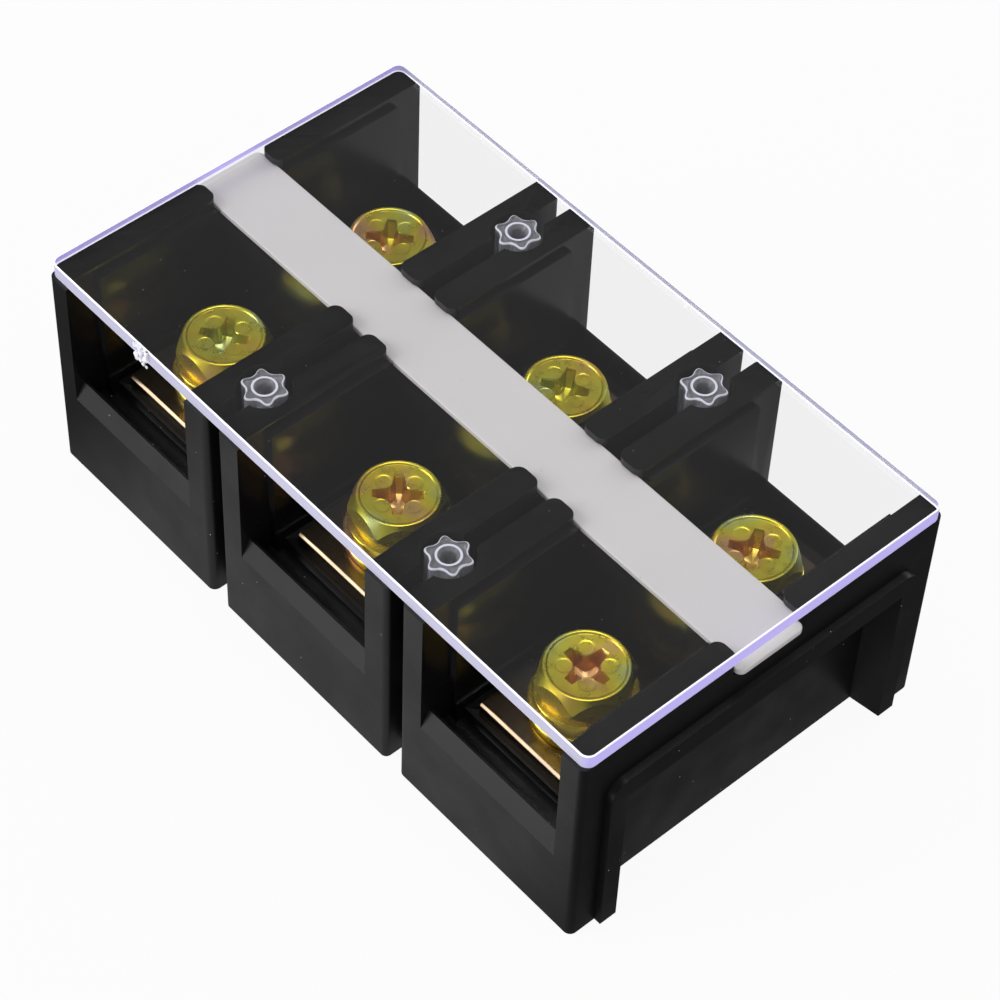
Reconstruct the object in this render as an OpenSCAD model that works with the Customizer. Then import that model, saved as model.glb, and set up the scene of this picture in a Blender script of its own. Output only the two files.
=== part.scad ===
// Barrier terminal strip with three poles.
// X runs along the row of poles, Y across it from wire entry to wire entry, Z up.
// The origin is at the middle of the underside.

/* [Poles] */
// Distance between the centres of two poles
pole_pitch = 40.2; // [39:0.1:46]
// Width of each wire window, between the barriers
window_width = 28; // [24:0.5:29]
// Width of the slot that splits each barrier between two poles
slot_width = 2.8; // [2:0.1:3.6]
// Depth of the slot below the faces, over their full height
slot_depth = 4.1; // [3:0.1:5]
// Height of the floor of the slots between the poles
slot_floor = 10; // [6:0.5:14]
// Thickness of the barrier at each end of the row
end_barrier = 4.3; // [3.5:0.1:8]

/* [Base] */
// Width of the base across the wire entries
base_width = 68.2; // [66:0.1:76]
// Height of the barrier tops
base_height = 39.4; // [39.4:0.1:46]
// Radius of the upright corners of the base
corner_radius = 1.2; // [0.6:0.1:2]
// Radius of the upright edges at the mouth of each slot
slot_edge_radius = 1.0; // [0.5:0.1:1.5]
// Radius of the corners of each barrier tip beside the marker strip
tip_radius = 1.5; // [0.5:0.1:1.9]
// Width of the centre rib that carries the marker strip
rib_width = 12; // [10:0.1:13]

/* [Wire entries] */
// Height of the sill on the face
sill_face_height = 15.5; // [15:0.1:16.5]
// Height of the crest of the sill
sill_crest_height = 18.6; // [17.5:0.1:20]
// Distance from the face in to the crest
sill_inset = 1.5; // [1:0.1:2]
// Flat width of the crest
sill_land = 0.4; // [0.2:0.1:0.8]
// Height of the trough floor behind the sill
trough_floor = 14; // [12:0.1:15]
// Length of the slope from the crest down to the trough floor
trough_slope = 0.8; // [0.3:0.1:1.2]
// Distance from the face in to the step where each cell narrows
step_inset = 5.4; // [4.5:0.1:6]
// Width of each cell, inside the step
cell_width = 25.8; // [22.8:0.1:26]
// Depth of the rebate along the tops of the cell walls
rebate_depth = 1.6; // [0.8:0.1:3]
// Height of the ledges beside each contact bar
ledge_height = 18; // [17:0.1:19]
// Width of the pocket between the ledges
pocket_width = 24.8; // [21.5:0.1:25]

/* [Contact bars] */
// Width of each contact bar
bar_width = 20; // [18:0.5:21]
// Length of each contact bar
bar_length = 53.4; // [52:0.2:54]
// Thickness of each contact bar
bar_thickness = 3; // [2:0.1:4]
// Height of the seat under each contact bar
seat_height = 16.1; // [15.6:0.1:16.8]
// Distance that the seat runs out past the end of the bar
seat_margin = 0.6; // [0.2:0.1:0.8]
// Width of the bevel along the upper end edges of each bar
bar_bevel = 0.4; // [0.2:0.1:0.8]

/* [Terminal screws] */
// Distance from the centre line to each terminal screw
terminal_offset = 16.1; // [15.5:0.1:16.5]
// Diameter of the screw shank
screw_diameter = 8; // [6:0.5:8]
// Length of the shank below the head
screw_length = 16; // [12:0.5:17]
// Hexagon size across the flats
hex_across_flats = 13; // [13:0.1:14]
// Height of the head
head_height = 5.3; // [4.5:0.1:6]
// Diameter of the round top of the head
head_top_diameter = 12.4; // [12:0.1:12.8]
// Diameter over the rounded corners of the head
head_corner_diameter = 14.8; // [14.2:0.1:14.9]
// Slope of the chamfer on the corners of the head, in degrees
head_chamfer = 63; // [45:1:66]
// Slope of the chamfer under the corners of the head, in degrees
head_underside_chamfer = 60; // [45:1:66]
// Diameter of the dished top inside the rim
dish_diameter = 11.5; // [9.5:0.1:11.8]
// Depth of the dished top
dish_depth = 0.35; // [0.2:0.05:0.6]
// Width of the cross recess over its wings
recess_span = 7; // [6:0.1:8]
// Width of each wing of the cross recess
recess_wing = 1.6; // [1.2:0.1:2]
// Diameter of the middle of the cross recess
recess_core = 3.2; // [2.6:0.1:4]
// Depth of the cross recess
recess_depth = 3.4; // [2:0.1:3.8]
// Angle to which each front screw was tightened, pole by pole
front_turns = [2, 55, 2]; // [0:1:60]
// Angle to which each rear screw was tightened, pole by pole
rear_turns = [54, 30, 32]; // [0:1:60]
// Angle from each front hexagon to its cross recess, pole by pole
front_cross_turns = [33, -8, 2]; // [-45:1:45]
// Angle from each rear hexagon to its cross recess, pole by pole
rear_cross_turns = [-11, 2, 1]; // [-45:1:45]

/* [Washers] */
// Diameter of the flat washers
flat_washer_diameter = 16; // [15:0.5:18]
// Thickness of the flat washers
flat_washer_thickness = 1.6; // [1:0.1:2]
// Diameter of the spring washers
spring_washer_diameter = 14.8; // [13:0.1:15]
// Thickness of the spring washers
spring_washer_thickness = 2; // [1.5:0.1:2.5]
// Width of the split in each spring washer
spring_washer_split = 0.7; // [0.4:0.1:1.2]
// Slope of the split, in degrees
split_slope = 25; // [15:1:35]

/* [Marker strip] */
// Width of the marker strip
strip_width = 12.4; // [12.2:0.1:13]
// Thickness of the marker strip
strip_thickness = 1; // [0.6:0.1:1.5]
// Length by which the strip stands out past each end of the base
strip_overhang = 0.8; // [0.3:0.1:1.1]
// Radius of the corners of the strip
strip_corner = 1.2; // [0.5:0.1:2]
// Thickness of the lips over the edges of the strip
lip_height = 1.2; // [0.8:0.1:1.6]
// Width of each lip over the strip
lip_overlap = 0.4; // [0.2:0.1:0.6]

/* [Cover] */
// Thickness of the clear cover
cover_thickness = 2.6; // [2:0.1:4]
// Distance that the cover stays inside each wire entry face
cover_setback = 0.5; // [0:0.1:1]
// Radius of the corners of the cover
cover_corner = 1.5; // [0.5:0.1:3]
// Length of the pins that hold the cover, below its plate
pin_length = 12; // [8:0.5:14]
// Radius of the pins to the points of the star
pin_point_radius = 3.6; // [3:0.1:3.8]
// Radius of the pins to the valleys of the star
pin_valley_radius = 2.7; // [2.2:0.1:2.9]
// Diameter of the hole up each pin
pin_hole_diameter = 2.4; // [1.6:0.1:3]
// Width of the moulding gate left on the front edge
gate_width = 3.2; // [2:0.1:4]
// Length by which the gate stands out from the edge
gate_length = 0.4; // [0.2:0.05:0.45]

/* [Mounting] */
// Distance from the centre line to each mounting hole
mounting_offset = 24.2; // [23.9:0.1:24.4]
// Diameter of the mounting holes
mounting_hole_diameter = 5.5; // [4.5:0.1:6]
// Radius of the wells for the mounting screw heads
well_radius = 4.2; // [4:0.1:4.4]
// Height of the floor of the wells
well_floor = 6; // [4:0.5:9]

/* [End pads] */
// Width of the raised pad on each end
pad_width = 58.8; // [56:0.2:60]
// Height of the raised pad on each end
pad_height = 32.4; // [30:0.2:34]
// Distance that the pads stand out from the ends
pad_proud = 1.2; // [0.8:0.1:2]
// Radius of the upper corners of each pad
pad_corner = 3; // [1:0.1:4]
// Width of the recess in each pad, at its mouth
recess_width = 52.8; // [48:0.2:54]
// Height of the ceiling of the recess
recess_height = 28.4; // [26:0.2:29]
// Depth of the recess below the face of the pad
end_recess_depth = 5.2; // [4:0.1:5.3]
// Draft on the side walls of the recess, in degrees
recess_draft = 8; // [3:1:12]

/* [Underside] */
// Thickness of the wall between the end recess and the nearest cavity
cavity_wall = 1.7; // [1.5:0.1:2.5]
// Thickness of the walls between the cavities and the wire entry faces
cavity_end_wall = 8.5; // [7.5:0.1:10]
// Height of the cavities
cavity_height = 10; // [8:0.1:10.5]
// Diameter of the bosses under the terminal screws
boss_diameter = 13; // [12:0.1:14]
// Height of the bottoms of the bosses
boss_bottom = 1.5; // [1:0.1:2.5]
// Height of the floor of the clearance bores under the screws
bore_floor = 3.5; // [3:0.1:4.5]

/* [Clearances] */
// Radial clearance between a shank and its washers or its thread
shank_clearance = 0.08; // [0.04:0.01:0.1]
// Radial clearance round the shank in the bore below the bar
bore_clearance = 0.4; // [0.3:0.05:0.6]
// Clearance round the marker strip
strip_clearance = 0.1; // [0.05:0.05:0.2]

/* [Hidden] */
$fn = 96;

cut = 1;
poles = [-1, 0, 1];
barriers = [-1, 1];
sides = [-1, 1];

base_length = 2 * pole_pitch + window_width + 2 * end_barrier;
barrier_wall = (pole_pitch - window_width - slot_width) / 2;
barrier_offset = pole_pitch / 2;
face_y = base_width / 2;
step_y = face_y - step_inset;
rib_y = rib_width / 2;
seat_y = bar_length / 2 + seat_margin;
strip_length = base_length + 2 * strip_overhang;
lip_underside = base_height - lip_height;
rib_top = lip_underside - strip_clearance - strip_thickness;
lip_y = strip_width / 2 - lip_overlap;
channel_y = strip_width / 2 + strip_clearance;
rebate_top = base_height - rebate_depth;
shank_bore = screw_diameter + 2 * shank_clearance;
bar_top = seat_height + bar_thickness;
flat_washer_top = bar_top + flat_washer_thickness;
head_bottom = flat_washer_top + spring_washer_thickness;
head_corner_radius = hex_across_flats / 2 / cos(30);
pad_x = base_length / 2 + pad_proud;
cavity_width = 2 * (pad_x - end_recess_depth - cavity_wall - pole_pitch);

// Rectangle with round corners, centred on the origin
module rounded_plan(length, width, radius) {
    union() {
        square([length - 2 * radius, width], center = true);
        square([length, width - 2 * radius], center = true);
        for (x = sides, y = sides)
            translate([x * (length / 2 - radius), y * (width / 2 - radius)])
                circle(r = radius);
    }
}

// Lays a profile drawn in Y and Z along X, centred on the origin
module along_x(length) {
    translate([-length / 2, 0, 0])
        rotate([90, 0, 90])
            linear_extrude(length)
                children();
}

// Places children on the front and on the rear of the base
module on_both_sides() {
    children();
    mirror([0, 1, 0]) children();
}

// Outline of the moulded block: three panels joined by a narrower core
module block_plan() {
    union() {
        square([base_length - 2 * slot_depth, base_width - 2 * slot_depth], center = true);
        for (pole = poles) {
            left = pole == -1 ? -base_length / 2 : pole * pole_pitch - panel_half();
            right = pole == 1 ? base_length / 2 : pole * pole_pitch + panel_half();
            translate([(left + right) / 2, 0])
                rounded_plan(right - left, base_width, pole == 0 ? slot_edge_radius : corner_radius);
        }
    }
}

function panel_half() = (pole_pitch - slot_width) / 2;

// Raised pad on the ends of the base, with round upper corners
module end_pads() {
    along_x(2 * pad_x)
        union() {
            translate([-pad_width / 2, 0])
                square([pad_width, pad_height - pad_corner]);
            translate([-pad_width / 2 + pad_corner, 0])
                square([pad_width - 2 * pad_corner, pad_height]);
            for (y = sides)
                translate([y * (pad_width / 2 - pad_corner), pad_height - pad_corner])
                    circle(r = pad_corner);
        }
}

// Drafted recess in one end, open below and outwards
module end_recess() {
    narrow = (end_recess_depth + cut) * tan(recess_draft);
    mouth = recess_width / 2 + cut * tan(recess_draft);
    translate([0, 0, -cut])
        linear_extrude(recess_height + cut)
            polygon([
                [pad_x + cut, -mouth],
                [pad_x + cut, mouth],
                [pad_x - end_recess_depth, mouth - narrow],
                [pad_x - end_recess_depth, narrow - mouth]
            ]);
}

// Wire entry and trough, cut from the face in to the step
module wire_entry() {
    crest_y = face_y - sill_inset;
    bevel = (sill_crest_height - sill_face_height) / sill_inset;
    along_x(window_width)
        polygon([
            [step_y, trough_floor],
            [crest_y - sill_land - trough_slope, trough_floor],
            [crest_y - sill_land, sill_crest_height],
            [crest_y, sill_crest_height],
            [face_y + cut, sill_face_height - bevel * cut],
            [face_y + cut, base_height + cut],
            [step_y, base_height + cut]
        ]);
}

// Cell over one end of a contact bar, from the centre rib out to the step
module cell() {
    translate([-cell_width / 2, rib_y, ledge_height])
        cube([cell_width, step_y - rib_y + cut, base_height]);
    translate([-window_width / 2, rib_y, rebate_top])
        cube([window_width, step_y - rib_y + cut, base_height]);
    lip_gap(window_width);
    translate([-pocket_width / 2, rib_y, seat_height])
        cube([pocket_width, seat_y - rib_y, base_height]);
    translate([-pocket_width / 2, seat_y, trough_floor])
        cube([pocket_width, step_y - seat_y + cut, base_height]);
}

// Gap between the lips of two barrier walls, over one edge of the marker strip
module lip_gap(width) {
    translate([-width / 2, 0, lip_underside])
        cube([width, rib_y + cut, lip_height + cut]);
}

// Slot between two poles, from the marker strip out through the face
module barrier_slot() {
    lip_gap(slot_width);
    translate([-slot_width / 2, rib_y, slot_floor])
        cube([slot_width, face_y - rib_y + cut, base_height]);
}

// Well and mounting hole in a barrier
module mounting_well() {
    translate([0, mounting_offset, well_floor])
        cylinder(r = well_radius, h = base_height);
    translate([0, mounting_offset, -cut])
        cylinder(d = mounting_hole_diameter, h = well_floor + 2 * cut);
}

// Clearance bore below the contact bar for the screw shank
module screw_bore() {
    translate([0, terminal_offset, bore_floor])
        cylinder(r = screw_diameter / 2 + bore_clearance, h = seat_height - bore_floor);
}

// Hollow below one pole, with a boss round each clearance bore
module underside_cavity() {
    difference() {
        translate([-cavity_width / 2, -face_y + cavity_end_wall, -cut])
            cube([cavity_width, base_width - 2 * cavity_end_wall, cavity_height + cut]);
        for (y = sides)
            translate([0, y * terminal_offset, boss_bottom])
                cylinder(d = boss_diameter, h = cavity_height);
    }
}

// Channel for the marker strip, under the lips of the barriers
module strip_channel() {
    translate([-pad_x, -channel_y, rib_top])
        cube([2 * pad_x, 2 * channel_y, lip_underside - rib_top]);
    translate([-pad_x, -lip_y, lip_underside])
        cube([2 * pad_x, 2 * lip_y, lip_height + cut]);
}

// Rounds one corner of a barrier tip, at the origin, with the barrier in the +X +Y quarter
module tip_rounding() {
    translate([-cut, -cut, rib_top])
        linear_extrude(base_height)
            difference() {
                square(tip_radius + cut);
                translate([tip_radius + cut, tip_radius + cut])
                    circle(r = tip_radius);
            }
}

// Rounds the corners of every barrier tip
module tip_roundings() {
    walls = concat(
        [for (b = barriers, s = sides)
            [for (reach = [slot_width / 2, slot_width / 2 + barrier_wall]) b * barrier_offset + s * reach]],
        [for (s = sides) [s * base_length / 2, s * (base_length / 2 - end_barrier)]]
    );
    for (wall = walls) {
        translate([min(wall), lip_y, 0])
            tip_rounding();
        translate([max(wall), lip_y, 0])
            mirror([1, 0, 0])
                tip_rounding();
    }
}

module base() {
    color("#1c1c1e")
        difference() {
            union() {
                linear_extrude(base_height)
                    block_plan();
                end_pads();
            }
            end_recess();
            mirror([1, 0, 0]) end_recess();
            strip_channel();
            on_both_sides() {
                tip_roundings();
                for (barrier = barriers)
                    translate([barrier * barrier_offset, 0, 0]) {
                        barrier_slot();
                        mounting_well();
                    }
                for (pole = poles)
                    translate([pole * pole_pitch, 0, 0]) {
                        wire_entry();
                        cell();
                        screw_bore();
                    }
            }
            for (pole = poles)
                translate([pole * pole_pitch, 0, 0]) {
                    underside_cavity();
                    translate([-bar_width / 2, -rib_y - cut, seat_height])
                        cube([bar_width, rib_width + 2 * cut, bar_thickness]);
                }
        }
}

// Six-pointed star with round points, drawn as lobes on a round core
module star_plan() {
    lobe = 0.55;
    union() {
        circle(r = pin_valley_radius);
        for (point = [30:60:330])
            rotate(point) {
                translate([pin_point_radius - lobe, 0])
                    circle(r = lobe);
                polygon([
                    [0, -pin_valley_radius * sin(30)],
                    [pin_point_radius - lobe, -lobe],
                    [pin_point_radius - lobe, lobe],
                    [0, pin_valley_radius * sin(30)]
                ]);
            }
    }
}

// Clear cover with its four hollow pins
module cover() {
    color("#c9c4f0", 0.35)
        union() {
            translate([0, 0, base_height])
                linear_extrude(cover_thickness)
                    rounded_plan(base_length, base_width - 2 * cover_setback, cover_corner);
            for (x = barriers, y = sides)
                translate([x * barrier_offset, y * mounting_offset, base_height - pin_length])
                    linear_extrude(pin_length)
                        difference() {
                            star_plan();
                            circle(d = pin_hole_diameter);
                        }
            translate([-pole_pitch, -face_y + cover_setback - gate_length, base_height])
                cube([gate_width, gate_length + cut, cover_thickness]);
        }
}

module marker_strip() {
    color("#d5d4d5")
        translate([0, 0, rib_top])
            linear_extrude(strip_thickness)
                rounded_plan(strip_length, strip_width, strip_corner);
}

// Contact bar of one pole, tapped for its two screws
module contact_bar(pole) {
    half_y = bar_length / 2;
    color("#8c7a5c")
        translate([(pole - 2) * pole_pitch, 0, 0])
            difference() {
                along_x(bar_width)
                    polygon([
                        [-half_y, seat_height],
                        [half_y, seat_height],
                        [half_y, bar_top - bar_bevel],
                        [half_y - bar_bevel, bar_top],
                        [bar_bevel - half_y, bar_top],
                        [-half_y, bar_top - bar_bevel]
                    ]);
                for (y = sides)
                    translate([0, y * terminal_offset, seat_height - cut])
                        cylinder(d = shank_bore, h = bar_thickness + 2 * cut);
            }
}

// Moves children to the axis of a terminal screw, side -1 at the front and 1 at the rear
module at_terminal(pole, side, height) {
    translate([(pole - 2) * pole_pitch, side * terminal_offset, height])
        children();
}

// Tapered cross recess, sunk from the dished top of a head at the origin
module cross_recess() {
    translate([0, 0, -recess_depth]) {
        for (angle = [0, 90])
            rotate(angle)
                intersection() {
                    translate([-recess_span, -recess_wing / 2, 0])
                        cube([2 * recess_span, recess_wing, recess_depth]);
                    cylinder(d1 = recess_wing, d2 = recess_span, h = recess_depth);
                }
        cylinder(d1 = recess_wing, d2 = recess_core, h = recess_depth);
    }
}

// Hexagon whose corners are worn round, so that each flat is the shape of a lens
module hexagon_head() {
    corner_reach = (head_corner_diameter - head_top_diameter) / 2;
    top_rise = corner_reach * tan(head_chamfer);
    underside_rise = corner_reach * tan(head_underside_chamfer);
    intersection() {
        cylinder(r = head_corner_radius, h = head_height, $fn = 6);
        rotate_extrude()
            polygon([
                [0, 0],
                [head_top_diameter / 2, 0],
                [head_corner_diameter / 2, underside_rise],
                [head_corner_diameter / 2, head_height - top_rise],
                [head_top_diameter / 2, head_height],
                [0, head_height]]);
    }
}

// Hexagon head screw with a chamfered, dished top and a cross recess
module terminal_screw(pole, side) {
    turn = side < 0 ? front_turns[pole - 1] : rear_turns[pole - 1];
    cross_turn = side < 0 ? front_cross_turns[pole - 1] : rear_cross_turns[pole - 1];
    shank_tip_diameter = screw_diameter - 2 * screw_bevel();
    color("#b5a436")
        at_terminal(pole, side, head_bottom)
            rotate(turn)
                difference() {
                    union() {
                        hexagon_head();
                        translate([0, 0, screw_bevel() - screw_length])
                            cylinder(d = screw_diameter, h = screw_length - screw_bevel());
                        translate([0, 0, -screw_length])
                            cylinder(d1 = shank_tip_diameter, d2 = screw_diameter, h = screw_bevel());
                    }
                    translate([0, 0, head_height - dish_depth])
                        cylinder(d = dish_diameter, h = dish_depth + cut);
                    translate([0, 0, head_height - dish_depth])
                        rotate(cross_turn)
                            cross_recess();
                }
}

function screw_bevel() = screw_diameter / 8;

// Spring washer, drawn flat under load, with its slanting split
module spring_washer(pole, side) {
    color("#c2a94a")
        at_terminal(pole, side, flat_washer_top)
            difference() {
                cylinder(d = spring_washer_diameter, h = spring_washer_thickness);
                translate([0, 0, -cut])
                    cylinder(d = shank_bore, h = spring_washer_thickness + 2 * cut);
                translate([0, 0, spring_washer_thickness / 2])
                    rotate([split_slope, 0, 0])
                        translate([0, -spring_washer_split / 2, -spring_washer_diameter / 2])
                            cube([spring_washer_diameter, spring_washer_split, spring_washer_diameter]);
            }
}

module flat_washer(pole, side) {
    color("#c2a94a")
        at_terminal(pole, side, bar_top)
            difference() {
                cylinder(d = flat_washer_diameter, h = flat_washer_thickness);
                translate([0, 0, -cut])
                    cylinder(d = shank_bore, h = flat_washer_thickness + 2 * cut);
            }
}

base();
cover();
marker_strip();
contact_bar(1);  // contact_bar_1
contact_bar(2);  // contact_bar_2
contact_bar(3);  // contact_bar_3
terminal_screw(1, -1);  // front_screw_1
terminal_screw(2, -1);  // front_screw_2
terminal_screw(3, -1);  // front_screw_3
terminal_screw(1, 1);  // rear_screw_1
terminal_screw(2, 1);  // rear_screw_2
terminal_screw(3, 1);  // rear_screw_3
spring_washer(1, -1);  // front_spring_washer_1
spring_washer(2, -1);  // front_spring_washer_2
spring_washer(3, -1);  // front_spring_washer_3
spring_washer(1, 1);  // rear_spring_washer_1
spring_washer(2, 1);  // rear_spring_washer_2
spring_washer(3, 1);  // rear_spring_washer_3
flat_washer(1, -1);  // front_flat_washer_1
flat_washer(2, -1);  // front_flat_washer_2
flat_washer(3, -1);  // front_flat_washer_3
flat_washer(1, 1);  // rear_flat_washer_1
flat_washer(2, 1);  // rear_flat_washer_2
flat_washer(3, 1);  // rear_flat_washer_3
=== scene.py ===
import math
import random

import bmesh
import bpy
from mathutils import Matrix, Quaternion, Vector, noise


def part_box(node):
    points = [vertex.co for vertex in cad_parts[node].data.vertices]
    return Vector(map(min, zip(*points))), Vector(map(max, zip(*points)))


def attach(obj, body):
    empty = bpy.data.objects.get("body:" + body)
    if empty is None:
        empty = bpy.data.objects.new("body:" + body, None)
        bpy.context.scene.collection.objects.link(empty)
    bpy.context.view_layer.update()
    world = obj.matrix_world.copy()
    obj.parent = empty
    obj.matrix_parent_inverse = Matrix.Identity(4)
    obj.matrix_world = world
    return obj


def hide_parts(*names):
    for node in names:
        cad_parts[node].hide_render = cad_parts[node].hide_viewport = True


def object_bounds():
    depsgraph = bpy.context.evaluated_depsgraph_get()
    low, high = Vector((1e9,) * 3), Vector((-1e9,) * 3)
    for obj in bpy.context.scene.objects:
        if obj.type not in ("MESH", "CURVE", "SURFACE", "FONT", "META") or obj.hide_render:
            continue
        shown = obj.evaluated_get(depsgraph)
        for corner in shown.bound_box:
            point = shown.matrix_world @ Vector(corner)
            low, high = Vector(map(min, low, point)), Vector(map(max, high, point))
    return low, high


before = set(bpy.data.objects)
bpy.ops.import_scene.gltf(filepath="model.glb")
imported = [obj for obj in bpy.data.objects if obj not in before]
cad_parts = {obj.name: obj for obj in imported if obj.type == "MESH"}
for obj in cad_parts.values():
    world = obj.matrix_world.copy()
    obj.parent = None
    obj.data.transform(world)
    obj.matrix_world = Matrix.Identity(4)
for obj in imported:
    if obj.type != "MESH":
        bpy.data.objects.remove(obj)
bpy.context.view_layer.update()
print("barrier strip: frame loaded,", len(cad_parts), "nodes")

mm = 0.001
poles = (1, 2, 3)
rows = ("front", "rear")


# small helpers that every piece uses

def linearColour(hexText, alpha=1.0):
    channels = [int(hexText[i:i + 2], 16) / 255 for i in (1, 3, 5)]
    return [c / 12.92 if c <= 0.04045 else ((c + 0.055) / 1.055) ** 2.4 for c in channels] + [alpha]


def addNode(tree, kind, inputs=None, **settings):
    node = tree.nodes.new(kind)
    for name, value in settings.items():
        setattr(node, name, value)
    for key, value in (inputs or {}).items():
        if isinstance(value, bpy.types.NodeSocket):
            tree.links.new(value, node.inputs[key])
        else:
            node.inputs[key].default_value = value
    return node


def newMaterial(name):
    material = bpy.data.materials.new(name)
    material.use_nodes = True
    material.node_tree.nodes.clear()
    return material, material.node_tree


def meshObject(name, mesh, *materials):
    piece = bpy.data.objects.new(name, mesh)
    bpy.context.scene.collection.objects.link(piece)
    for material in materials:
        mesh.materials.append(material)
    return piece


def bakeModifiers(piece):
    view = bpy.context.evaluated_depsgraph_get()
    mesh = bpy.data.meshes.new_from_object(piece.evaluated_get(view), depsgraph=view)
    piece.modifiers.clear()
    piece.data = mesh
    return piece


def smoothByAngle(mesh, degrees):
    mesh.shade_smooth()
    mesh.set_sharp_from_angle(angle=math.radians(degrees))


# black moulding: compression-moulded phenolic, satin outside and near-mirror inside the cells

phenolicFinish = {
    "body": "#111112",
    "dust": "#b8b8b4",
    "ior": 1.6,
    "satinRoughness": 0.42,
    "polishRoughness": 0.2,
    "grain": 0.25 * mm,
    "flow": 9 * mm,
    "dustSpacing": 2.6 * mm,
    "dustSize": 0.035,
    "dustShare": 0.55,
    "satinBump": 0.25,
    "bumpHeight": 0.02 * mm,
}


def phenolic(name, roughness, bump=None):
    f = phenolicFinish
    material, tree = newMaterial(name)
    place = addNode(tree, "ShaderNodeTexCoord").outputs["Object"]
    flow = addNode(tree, "ShaderNodeTexNoise", {"Vector": place, "Scale": 1 / f["flow"], "Detail": 3.0})
    sheen = addNode(tree, "ShaderNodeMapRange", {
        "Value": flow.outputs["Fac"], "From Min": 0.35, "From Max": 0.65,
        "To Min": roughness * 0.85, "To Max": roughness * 1.15})
    # dust: a speck in a few of the cells of a 2.6 mm pattern
    dust = addNode(tree, "ShaderNodeTexVoronoi", {"Vector": place, "Scale": 1 / f["dustSpacing"]})
    speck = addNode(tree, "ShaderNodeMath", {
        0: dust.outputs["Distance"], 1: f["dustSize"]}, operation="LESS_THAN")
    chosen = addNode(tree, "ShaderNodeSeparateColor", {"Color": dust.outputs["Color"]})
    rare = addNode(tree, "ShaderNodeMath", {
        0: chosen.outputs["Red"], 1: f["dustShare"]}, operation="GREATER_THAN")
    shown = addNode(tree, "ShaderNodeMath", {0: speck.outputs[0], 1: rare.outputs[0]}, operation="MULTIPLY")
    colour = addNode(tree, "ShaderNodeMix", {
        "Factor": shown.outputs[0], 6: linearColour(f["body"]), 7: linearColour(f["dust"])}, data_type="RGBA")
    shading = {
        "Base Color": colour.outputs[2], "Roughness": sheen.outputs["Result"], "IOR": f["ior"],
        "Specular IOR Level": 0.4}
    if bump:
        grain = addNode(tree, "ShaderNodeTexNoise", {"Vector": place, "Scale": 1 / f["grain"], "Detail": 2.0})
        relief = addNode(tree, "ShaderNodeBump", {
            "Height": grain.outputs["Fac"], "Strength": bump, "Distance": f["bumpHeight"]})
        shading["Normal"] = relief.outputs["Normal"]
    surface = addNode(tree, "ShaderNodeBsdfPrincipled", shading)
    addNode(tree, "ShaderNodeOutputMaterial", {"Surface": surface.outputs[0]})
    return material


satinPhenolic = phenolic("satinPhenolic", phenolicFinish["satinRoughness"], phenolicFinish["satinBump"])
polishedPhenolic = phenolic("polishedPhenolic", phenolicFinish["polishRoughness"])

baseShape = {
    "weld": 0.002 * mm,
    "edgeRounding": 0.22 * mm,
    "roundingSteps": 3,
    "cellHalfWidth": 14.05 * mm,
    "polePitch": 40.2 * mm,
    "ribHalfWidth": 5.9 * mm,
    "faceInset": 1.6 * mm,
    "troughFloor": 13.9 * mm,
    "barrierTips": 39.3 * mm,
    "flatWithin": 0.4,
    "sharpFrom": 32,
    "smoothWithin": 13,
}


def inCell(centre, halfWidth):
    # the faces that the polished cores of the mould form
    if centre.z < baseShape["troughFloor"] or abs(centre.y) < baseShape["ribHalfWidth"]:
        return False
    if abs(centre.y) > halfWidth - baseShape["faceInset"] or centre.z > baseShape["barrierTips"]:
        return False
    nearest = min(abs(centre.x - k * baseShape["polePitch"]) for k in (-1, 0, 1))
    return nearest < baseShape["cellHalfWidth"]


def weldedCopy(node, rounding, steps):
    # a copy of a CAD mesh with its seams closed, its flat faces joined and its edges rounded
    bm = bmesh.new()
    bm.from_mesh(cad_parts[node].data)
    bmesh.ops.remove_doubles(bm, verts=bm.verts, dist=baseShape["weld"])
    bmesh.ops.dissolve_limit(
        bm, angle_limit=math.radians(baseShape["flatWithin"]), use_dissolve_boundaries=False,
        verts=bm.verts, edges=bm.edges, delimit=set())
    mesh = bpy.data.meshes.new(node + "Mesh")
    bm.to_mesh(mesh)
    bm.free()
    mesh.materials.clear()
    piece = meshObject(node + "Piece", mesh)
    bevel = piece.modifiers.new("edges", "BEVEL")
    bevel.width = rounding
    bevel.segments = steps
    bevel.limit_method = "ANGLE"
    bevel.angle_limit = math.radians(baseShape["sharpFrom"])
    bevel.use_clamp_overlap = True
    bakeModifiers(piece)
    smoothByAngle(piece.data, baseShape["smoothWithin"])
    return piece


baseLow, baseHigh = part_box("base")
moulding = weldedCopy("base", baseShape["edgeRounding"], baseShape["roundingSteps"])
moulding.name = "baseMoulding"
moulding.data.materials.append(satinPhenolic)
moulding.data.materials.append(polishedPhenolic)
for face in moulding.data.polygons:
    face.material_index = 1 if inCell(face.center, baseHigh.y) else 0
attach(moulding, "base")
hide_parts("base")
print("barrier strip: moulding,", len(moulding.data.polygons), "faces")


# contact bars: cold-rolled brass strip, tarnished dark but still bright where light grazes its brushed face

barFinish = {
    "metal": "#93806a",
    "tarnish": "#6f6150",
    "roughness": 0.2,
    "brush": 0.12 * mm,
    "brushStretch": 0.06,
    "brushHeight": 0.01 * mm,
    "blotch": 4 * mm,
    "rounding": 0.12 * mm,
    "roundingSteps": 2,
}


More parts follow.
